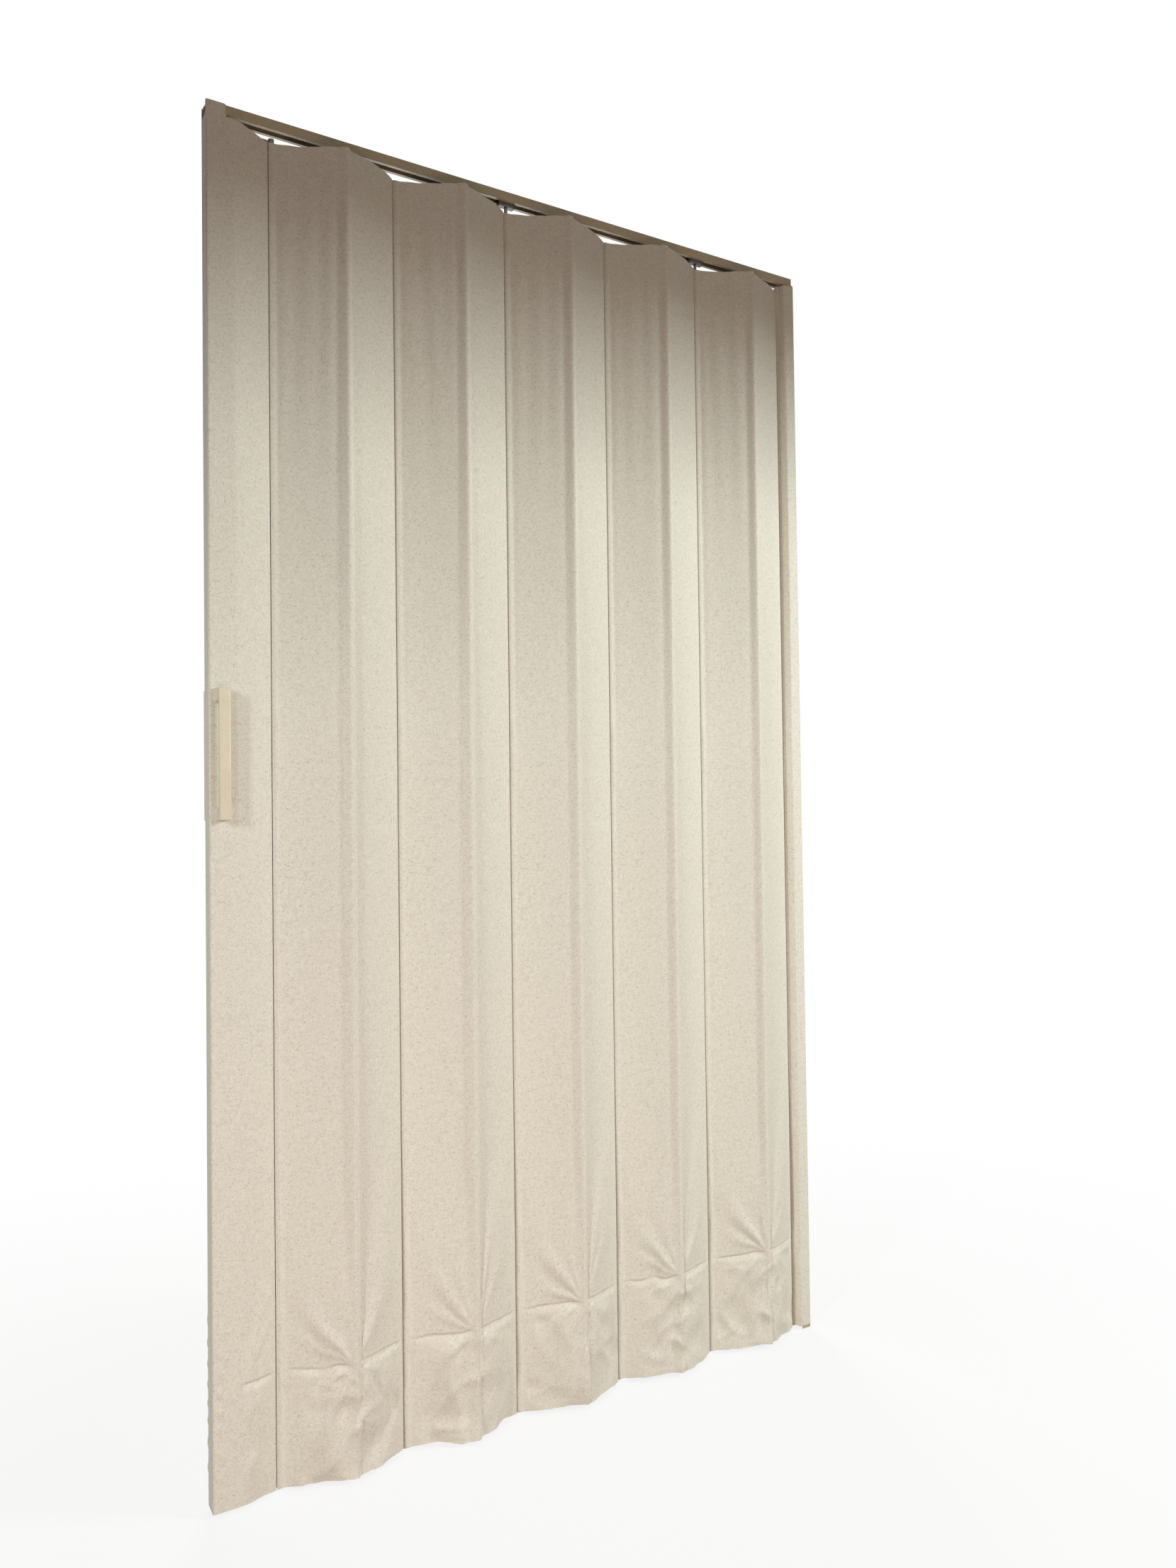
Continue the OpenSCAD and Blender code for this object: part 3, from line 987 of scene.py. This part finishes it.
class Shop:
    """Small helpers for work with the operators."""

    @staticmethod
    def clear() -> None:
        """Deselects everything."""
        for other in bpy.context.view_layer.objects:
            other.select_set(False)

    @staticmethod
    def use(piece: bpy.types.Object) -> None:
        """Selects one piece alone."""
        Shop.clear()
        piece.select_set(True)
        bpy.context.view_layer.objects.active = piece

    @staticmethod
    def block(name: str, low: Vector, high: Vector) -> bpy.types.Object:
        """Adds a block between two corners, with its place in its mesh.

        Args:
            name: Name of the piece.
            low: Lowest corner.
            high: Highest corner.

        Returns:
            The block.
        """
        Shop.clear()
        bpy.ops.mesh.primitive_cube_add(size=1, location=(low + high) / 2)
        piece = bpy.context.active_object
        piece.name = piece.data.name = name
        piece.scale = high - low
        bpy.ops.object.transform_apply(location=True, rotation=True, scale=True)
        return piece

    @staticmethod
    def cut(piece: bpy.types.Object, tool: bpy.types.Object) -> None:
        """Cuts a tool's shape out of a piece and removes the tool.

        Args:
            piece: The piece.
            tool: The shape to cut out.
        """
        Shop.use(piece)
        change = piece.modifiers.new("cut", "BOOLEAN")
        change.operation, change.object, change.solver = "DIFFERENCE", tool, "EXACT"
        bpy.ops.object.modifier_apply(modifier=change.name)
        bpy.data.objects.remove(tool)

    @staticmethod
    def soften(piece: bpy.types.Object, width: float, segments: int) -> None:
        """Rounds a piece's sharp edges and shades it smooth.

        Args:
            piece: The piece.
            width: Width of the rounding.
            segments: Number of steps in it.
        """
        Shop.use(piece)
        change = piece.modifiers.new("edges", "BEVEL")
        change.width, change.segments = width, segments
        change.limit_method, change.angle_limit = "ANGLE", math.radians(40)
        bpy.ops.object.modifier_apply(modifier=change.name)
        bpy.ops.object.shade_smooth_by_angle(angle=math.radians(35))

    @staticmethod
    def pick_edges(piece: bpy.types.Object, test: Callable[[Vector], bool]) -> None:
        """Selects edges of a piece and leaves it in edit mode.

        Args:
            piece: The piece.
            test: Takes the middle of an edge, and says whether to select it.
        """
        bpy.ops.object.mode_set(mode="EDIT")
        bpy.ops.mesh.select_mode(type="EDGE")
        bpy.ops.mesh.select_all(action="DESELECT")
        bpy.ops.object.mode_set(mode="OBJECT")
        mesh = piece.data
        for edge in mesh.edges:
            first, second = (mesh.vertices[v].co for v in edge.vertices)
            edge.select = test((first + second) / 2)
        bpy.ops.object.mode_set(mode="EDIT")


@dataclass
class Covering:
    """A part of the door's cover.

    Attributes:
        plan: The hinge lines.
        cloth: Makes the sheets.
        heights: Where the cloth's rows lie.
    """

    plan: Plan
    cloth: Cloth
    heights: Heights


@dataclass
class Cover(Covering):
    """The pleated cover on one face of the door.

    Attributes:
        side: The face.
        POST_TUCK: Tuck of the strip beside the lead post or the jamb, in degrees.
        HALF_FOLD: Half a width about a fold.
    """

    side: Side

    POST_TUCK = 27.0
    HALF_FOLD = 6 * MM

    def build(self, pleat: Pleat, node_body: dict[str, str]) -> None:
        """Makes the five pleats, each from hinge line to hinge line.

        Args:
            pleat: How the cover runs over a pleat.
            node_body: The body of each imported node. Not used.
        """
        word, pleats = self.side.name.lower(), len(self.plan.lines) - 1
        beside_post, first_seed = (1, 0) if self.side is Side.FRONT else (pleats, 20)
        for k, left in enumerate(self.plan.lines[:-1], start=1):
            strip = replace(pleat.strip, tuck=self.POST_TUCK) if k == beside_post else pleat.strip
            cut = replace(pleat, strip=strip).cut(self.plan, left)
            fold, out = left + self.plan.pitch / 2, self.side.value * self.plan.depth
            if self.side is Side.BACK:
                cut = cut.mirrored(fold)
            drape = Drape(self.heights, cut, seed=k + first_seed)
            drape.lay(drape.hem(), drape.top())
            piece = self.cloth.sheet(f"{word}_pleat_{k}", drape, drape.over_pleat(), self.side)
            leaves = [f"{word}_leaf_{n:02d}" for n in (2 * k - 1, 2 * k)]
            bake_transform(piece)
            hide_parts(*leaves)
        log.info("%s cover: %d pleats", word, pleats)


@dataclass
class LeadPost(Covering):
    """The lead post's wrap and its two pulls.

    Attributes:
        stand_off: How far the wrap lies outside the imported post.
        front_loose: How much further its front corner stands out, along the track.
        corner: Radius of the wrap's corners.
        tail: Where the wrap's plain end stops, before the first hinge line.
        cheek_width: Width of the cheeks beside the track.
        grip_depth: Thickness of a pull's grip.
        foot_length: Length of a pull's feet.
        lie: How far the wrap lies outside the line from the hinge line to the post.
        pucker: Height of the slanting puckers at the outer face's foot.
        pucker_pitch: Height from one pucker to the next.
        FAR: Stands for the distance from any hinge line on the post itself.
        FIRM_COLUMNS: Columns after the strip that the arms' lift still reaches.
    """

    stand_off: float = 0.7 * MM
    front_loose: float = 4.8 * MM
    corner: float = 2.0 * MM
    tail: float = 7.5 * MM
    cheek_width: float = 25 * MM
    grip_depth: float = 6 * MM
    foot_length: float = 20 * MM
    lie: float = 1.0 * MM
    pucker: float = 1.4 * MM
    pucker_pitch: float = 31 * MM

    FAR = 0.2
    FACE_COLUMNS, END_COLUMNS, FIRM_COLUMNS = 15, 9, 8

    def half(self, strip: Strip | None) -> Cut:
        """Lays one side of the wrap, from the first hinge line to the post's outer corner.

        Args:
            strip: The strip over the hinge line, or None for a plain end.

        Returns:
            The path of that side.
        """
        line, depth = self.plan.lines[0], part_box("lead_cover")[1].y
        inner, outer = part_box("lead_post")[1].x + 1.5 * MM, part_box("lead_cover")[0].x - self.stand_off
        outer -= 0.0 if strip else self.front_loose
        reach = np.array([line - inner, depth - 0.6 * MM])
        length = float(np.hypot(*reach))
        along = reach / length
        out = np.array([-along[1], along[0]])
        start = strip.points() if strip else np.empty((0, 2))
        meet, off = strip.meets(along) if strip else (self.tail - 2.5 * MM, self.lie)
        panel = np.linspace(meet + 2.5 * MM, length - 2 * MM, self.FACE_COLUMNS)
        offset = self.lie + (off - self.lie) * (1 - ramp(panel, meet, meet + 20 * MM))
        panel_points = panel[:, None] * along + offset[:, None] * out
        hinge_side = np.concatenate([start, panel_points]) * (-1, 1) + (line, 0)
        face_out, r = depth + self.stand_off, self.corner
        face = np.stack([np.linspace(inner - 1.5 * MM, outer + r, self.FACE_COLUMNS),
                         np.full(self.FACE_COLUMNS, face_out)], axis=1)
        turn = np.radians(np.linspace(90, 180, 6))[1:-1]
        bend = np.array([outer + r, face_out - r]) + r * np.stack([np.cos(turn), np.sin(turn)], axis=1)
        rest = len(face) + len(bend)
        # A plain end's last millimetres get some painted groove shade.
        plain = Strip.PLAIN_DEPTH * ramp(panel, meet + 6 * MM, meet) * (strip is None)
        return Cut(np.concatenate([hinge_side, face, bend]),
                   np.concatenate([np.clip(start[:, 0], 0, None), panel, np.full(rest, self.FAR)]),
                   np.concatenate([length - start[:, 0], length - panel, np.zeros(rest)]),
                   np.arange(len(hinge_side) + rest) >= len(start) + (self.FIRM_COLUMNS if strip else 0),
                   np.concatenate([Strip.groove(start[:, 0]), plain, np.zeros(rest)]))

    def path(self) -> Cut:
        """Lays the wrap round the post: the back with the strip, the outer face, then the front.

        Returns:
            The path of the whole wrap.
        """
        front, back, count = self.half(None), self.half(Strip()), self.END_COLUMNS
        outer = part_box("lead_cover")[0].x - self.stand_off
        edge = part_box("lead_cover")[1].y + self.stand_off - self.corner
        end = np.stack([np.linspace(outer, outer - self.front_loose, count),
                        np.linspace(-edge, edge, count)], axis=1)
        values = ((back.valley, self.FAR, front.valley), (back.peak, 0.0, front.peak),
                  (back.falling, True, front.falling), (back.groove, 0.0, front.groove))
        joined = [np.concatenate([a, np.full(count, middle), b[::-1]]) for a, middle, b in values]
        return Cut(np.concatenate([back.points * (1, -1), end, front.points[::-1]]), *joined)

    def wrap(self) -> None:
        """Makes the wrap, which also covers the cheeks beside the track."""
        cut = self.path()
        drape = Drape(self.heights, cut, seed=41)
        x, y = cut.points.T
        outer, post_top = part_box("lead_post")[0].x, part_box("lead_post")[1].z
        over_cheek = (x < outer - 1.2 * MM + self.cheek_width) & (np.abs(y) > 14 * MM)
        low_top = self.heights.top - self.heights.dip
        slope = low_top + (post_top - 20 * MM - low_top) * cut.climb
        drape.lay(np.full(len(x), 5 * MM), np.where(over_cheek, post_top - 0.5 * MM, slope))
        rows = drape.rows
        loose = (ramp(cut.peak, 0.0, 10 * MM) * (cut.valley < self.FAR / 2))[None, :]
        relief = 0.4 * drape.billow() + drape.crease(loose, 0.7 * loose)
        relief += loose * (0.7 * drape.skirt() + drape.fan(drape.FALLING, drape.above))
        relief = drape.within(relief) + drape.arms()
        beside = np.abs(x - x.min())[None, :]
        sway = 1.5 * drape.noise.at(0.3, rows / 0.06)
        slant = np.sin(2 * np.pi * (rows + 0.9 * beside) / self.pucker_pitch + sway)
        band = ramp(rows, 0.025, 0.06) * ramp(rows, 0.33, 0.26) * ramp(beside, 2 * MM, 6 * MM)
        relief += self.pucker * (np.clip(slant, 0, 1) * band * ramp(beside, 22 * MM, 12 * MM))
        piece = self.cloth.sheet("lead_wrap", drape, relief, Side.FRONT)
        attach(piece, "lead")
        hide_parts("lead_cover")

    def pull(self, side: Side, plastic: bpy.types.Material) -> None:
        """Makes one pull: a grip with rounded edges on a foot at each end.

        Args:
            side: Face of the door.
            plastic: The pull's plastic.
        """
        name = f"pull_{side.name.lower()}"
        low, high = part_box(name)
        piece = Shop.block(f"{name}_moulding", low, high)
        foot, outer = (low.y, high.y) if side is Side.BACK else (high.y, low.y)
        gap = sorted((outer - side.value * self.grip_depth, foot - side.value * 5 * MM))
        half = Vector((20 * MM, 0, (high.z - low.z) / 2 - self.foot_length))
        middle = (low + high) / 2
        Shop.cut(piece, Shop.block("finger_gap", Vector((middle.x, gap[0], middle.z)) - half,
                                   Vector((middle.x, gap[1], middle.z)) + half))
        Shop.pick_edges(piece, lambda at: abs(at.y - outer) < 1e-5)
        bpy.ops.mesh.bevel(offset=2.0 * MM, segments=4, affect="EDGES")
        bpy.ops.object.mode_set(mode="OBJECT")
        Shop.soften(piece, 0.8 * MM, 3)
        piece.data.materials.clear()
        piece.data.materials.append(plastic)
        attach(piece, "lead")
        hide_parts(name)

    def build(self, plastic: bpy.types.Material) -> None:
        """Makes the wrap and both pulls.

        Args:
            plastic: The pulls' plastic.
        """
        self.wrap()
        for side in Side:
            self.pull(side, plastic)
        log.info("lead post: wrap and two pulls")


@dataclass
class JambPost(Covering):
    """The cover's ends at the jamb, which wrap the front and back of the fixed post.

    Attributes:
        stand_off: How far the ends lie outside the post.
        plain_start: Where the back end's plain edge lies, from the last hinge line.
        lip: How far the ends reach past the post, towards the hinge line.
        rise: How much higher the ends reach than the pleats.
    """

    stand_off: float = 0.7 * MM
    plain_start: tuple[float, float] = (3.0 * MM, 7.1 * MM)
    lip: float = 5.6 * MM
    rise: float = 8.0 * MM

    SIDE_COLUMNS, FACE_COLUMNS = 6, 9

    def path(self, side: Side) -> Cut:
        """Lays one end, from the last hinge line to the wall.

        Args:
            side: Face of the door. The front has the strip over the hinge line.

        Returns:
            The path of that end.
        """
        low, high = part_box("jamb_post")
        line, face_out = self.plan.lines[-1], high.y + self.stand_off
        short = Strip(reach=(-2.5 * MM, 1.5 * MM))
        strip = short.points() if side is Side.FRONT else np.array([self.plain_start])
        begin, corner = strip[-1], np.array([low.x - self.lip - line, face_out])
        share = np.linspace(0, 0.9, self.SIDE_COLUMNS + 1)[1:]
        rise = begin + share[:, None] * (corner - begin)
        wall = high.x - 0.4 * MM - line
        face = np.stack([np.linspace(corner[0] + 1.5 * MM, wall, self.FACE_COLUMNS),
                         np.full(self.FACE_COLUMNS, face_out)], axis=1)
        points = np.concatenate([strip, rise, face])
        count = self.SIDE_COLUMNS + self.FACE_COLUMNS
        valley = np.concatenate([np.clip(strip[:, 0], 0, None), 5 * MM * np.arange(1, count + 1)])
        groove = np.concatenate([Strip.groove(strip[:, 0]), np.zeros(count)])
        falling = np.arange(len(points)) >= len(strip) + 3
        return Cut(points + (line, 0), valley, np.zeros(len(points)), falling, groove)

    def build(self) -> None:
        """Makes both ends of the cover."""
        for side in Side:
            cut = self.path(side)
            drape = Drape(self.heights, cut, seed=61 + side.value)
            drape.lay(drape.hem(), np.full(len(cut.valley), self.heights.top + self.rise))
            inside = (ramp(cut.valley, 4 * MM, 16 * MM) * ramp(cut.valley, 74 * MM, 60 * MM))[None, :]
            relief = (0.4 * drape.billow() + 0.35 * np.clip(drape.skirt(), 0, None)) * inside + drape.arms()
            piece = self.cloth.sheet(f"{side.name.lower()}_jamb_wrap", drape, relief, side)
            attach(piece, "frame")
            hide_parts("jamb_cover")
        log.info("jamb post: two cover ends")


@dataclass(frozen=True)
class Lamp:
    """A soft box.

    Attributes:
        name: Its name.
        place: Where it hangs.
        aim: Where it points.
        size: Its width and height.
        watts: Its power.
        colour: Its colour, in linear light.
    """

    name: str
    place: tuple[float, float, float]
    aim: tuple[float, float, float]
    size: tuple[float, float]
    watts: float
    colour: tuple[float, float, float]

    def hang(self) -> None:
        """Hangs the lamp in the scene."""
        data = bpy.data.lights.new(self.name, "AREA")
        data.shape = "RECTANGLE"
        data.size, data.size_y = self.size
        data.energy = self.watts
        data.color = self.colour
        lamp = bpy.data.objects.new(self.name, data)
        lamp.location = self.place
        lamp.rotation_euler = (Vector(self.aim) - Vector(self.place)).to_track_quat("-Z", "Y").to_euler()
        bpy.context.scene.collection.objects.link(lamp)


@dataclass(frozen=True)
class Studio:
    """Camera, floor, background and lamps.

    Attributes:
        focal_px: Focal length in pixels of the picture's height.
        picture_px: Height of the picture in pixels.
        eye: Place of the camera.
        yaw: Turn of the camera from straight on towards the jamb, in degrees.
        pitch: Tilt upwards, in degrees.
        roll: Turn about the line of sight, in degrees.
        fill: Strength of the soft light from all round.
    """

    focal_px: float = 1855.0
    picture_px: float = 2212.0
    eye: tuple[float, float, float] = (-1.285, -1.959, 1.029)
    yaw: float = 35.09
    pitch: float = 1.50
    roll: float = -0.74
    fill: float = 0.06

    # The lamps, two corners of the board, and the floor's colour for the light on the door and for the eye.
    COOL, PLAIN, WARM = (0.93, 1.0, 0.96), (0.98, 1.0, 1.0), (1.0, 0.70, 0.70)
    LAMPS = (Lamp("right_box", (2.9, -2.6, 2.2), (0.0, 0.0, 1.2), (1.0, 1.0), 113, COOL),
             Lamp("left_window", (-6.3, -3.3, 3.0), (-0.1, 0.0, 1.0), (0.4, 2.4), 250, COOL),
             Lamp("low_glow", (-0.7, -1.7, 0.35), (0.0, 0.0, 0.3), (1.4, 0.4), 7.5, WARM),
             Lamp("back_box", (1.5, 3.3, 1.9), (0.0, 0.0, 1.0), (1.8, 1.8), 110, PLAIN))
    BOARD = (-3.4, -0.81, 1.95), (2.6, -0.8, 3.6)
    FLOOR_DARK, FLOOR_PALE = (0.33, 0.265, 0.215, 1), (0.84, 0.83, 0.80, 1)
    FILL_COLOUR = (1.0, 0.89, 0.77, 1)

    def camera(self) -> None:
        """Places the camera at the photograph's viewing angle."""
        data = bpy.data.cameras.new("view")
        data.sensor_width = 36.0
        data.lens = self.focal_px * data.sensor_width / self.picture_px
        yaw, pitch, roll = (math.radians(v) for v in (self.yaw, self.pitch, self.roll))
        ahead = Vector((math.sin(yaw) * math.cos(pitch), math.cos(yaw) * math.cos(pitch), math.sin(pitch)))
        right = Vector((math.cos(yaw), -math.sin(yaw), 0))
        up = right.cross(ahead)
        tilted = math.cos(roll) * right + math.sin(roll) * up
        upright = math.cos(roll) * up - math.sin(roll) * right
        turn = Matrix((tilted, upright, -ahead)).transposed()
        camera = bpy.data.objects.new("view", data)
        camera.matrix_world = Matrix.Translation(self.eye) @ turn.to_4x4()
        bpy.context.scene.collection.objects.link(camera)
        bpy.context.scene.camera = camera

    def floor(self) -> None:
        """Lays a pale floor that shows white to the camera and keeps a faint shadow."""
        Shop.clear()
        bpy.ops.mesh.primitive_plane_add(size=16, location=(0, 0, -0.5 * MM))
        floor = bpy.context.active_object
        floor.name = "floor"
        recipe = Recipe("pale_floor", Grain.OBJECT)
        recipe.put(recipe.shader, Roughness=0.9)
        seen = recipe.seen()
        tone = recipe.tint(seen, self.FLOOR_DARK, self.FLOOR_PALE)
        recipe.link(tone, recipe.shader.inputs["Base Color"])
        far = recipe.add("VectorMath")
        far.operation = "LENGTH"
        recipe.link(recipe.place, far.inputs[0])
        share = recipe.combine("MULTIPLY", seen, recipe.spread(far.outputs["Value"], 0.8, 2.2, 0.84, 1.0))
        white = recipe.add("Emission").outputs["Emission"]
        recipe.surface(share, recipe.shader.outputs["BSDF"], white, "Material Output")
        floor.data.materials.append(recipe.material)

    def world(self) -> None:
        """Fills the scene with soft light, behind a white background."""
        world = bpy.data.worlds.new("room")
        world.use_nodes = True
        bpy.context.scene.world = world
        nodes = Nodes(world.node_tree)
        fill = nodes.tree.nodes["Background"]
        nodes.put(fill, Color=self.FILL_COLOUR, Strength=self.fill)
        white = nodes.add("Background", Color=(1, 1, 1, 1))
        nodes.surface(nodes.seen(), fill.outputs["Background"], white.outputs["Background"], "World Output")

    def board(self) -> None:
        """Hangs a board in front of the header, out of sight, which shades the top of the door."""
        board = Shop.block("shade_board", *(Vector(corner) for corner in self.BOARD))
        recipe = Recipe("board_grey", Grain.OBJECT)
        recipe.put(recipe.shader, Base_Color=srgb(150, 140, 125))
        board.data.materials.append(recipe.material)
        board.visible_camera = board.visible_glossy = board.visible_transmission = False

    def build(self) -> None:
        """Sets up everything round the door but the camera."""
        bpy.context.scene.view_settings.view_transform = "Standard"
        self.floor()
        self.world()
        for lamp in self.LAMPS:
            lamp.hang()
        self.board()
        log.info("studio: floor, background, board and %d lamps", len(self.LAMPS))

class Door:
    """The whole door, dressed.

    Attributes:
        ARM_HEIGHT: Height of one arm.
    """

    ARM_HEIGHT = 22 * MM

    def __init__(self) -> None:
        """Reads the plan and makes the finishes."""
        self.plan = Plan.of_joints(frame["joints"])
        low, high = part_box("arm_b1")[0].z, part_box("arm_a1")[1].z
        last = high - (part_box("arm_a1")[0].z - low) - self.ARM_HEIGHT
        self.heights = Heights((low, (low + last) / 2, last))
        self.cloth = Cloth(CoverVinyl().material())
        nylon = MouldedPlastic("nylon", srgb(226, 224, 214), srgb(214, 210, 196), (0.38, 0.5))
        self.finishes = {
            "steel": ZincedSteel().material(),
            "zinc": DieCasting().material(),
            "nylon": nylon.material(),
            "enamel": BakedEnamel("beige_enamel", srgb(188, 173, 142), srgb(168, 151, 120)).material(),
            "lead_core": BakedEnamel("cream_enamel", srgb(222, 214, 198), srgb(206, 196, 177)).material(),
        }
        cream = MouldedPlastic("pull_plastic", srgb(229, 219, 197), srgb(221, 210, 186), (0.32, 0.46))
        self.plastic = cream.material()

    def finish_nodes(self) -> None:
        """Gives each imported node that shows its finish."""
        slots = {s["node"]: s["material_slot"] for s in frame["record"]["subparts"]}
        for name, node in frame["nodes"].items():
            if slots[name] in self.finishes:
                node.data.materials.clear()
                node.data.materials.append(self.finishes[slots[name]])
        log.info("frame: %d packed nodes", len(slots))

    def build(self) -> None:
        """Builds each sub-assembly in order."""
        bodies = frame["record"]["behaviour"]["bodies"]
        node_body = {node: body for body, nodes in bodies.items() for node in nodes}
        self.finish_nodes()
        for side in Side:
            Cover(self.plan, self.cloth, self.heights, side).build(Pleat(), node_body)
        LeadPost(self.plan, self.cloth, self.heights).build(self.plastic)
        JambPost(self.plan, self.cloth, self.heights).build()


def main() -> None:
    """Builds the camera, the door and the studio."""
    logging.basicConfig(level=logging.INFO, format="%(name)s: %(message)s")
    studio = Studio()
    studio.camera()
    Door().build()
    studio.build()


if __name__ == "__main__":
    main()
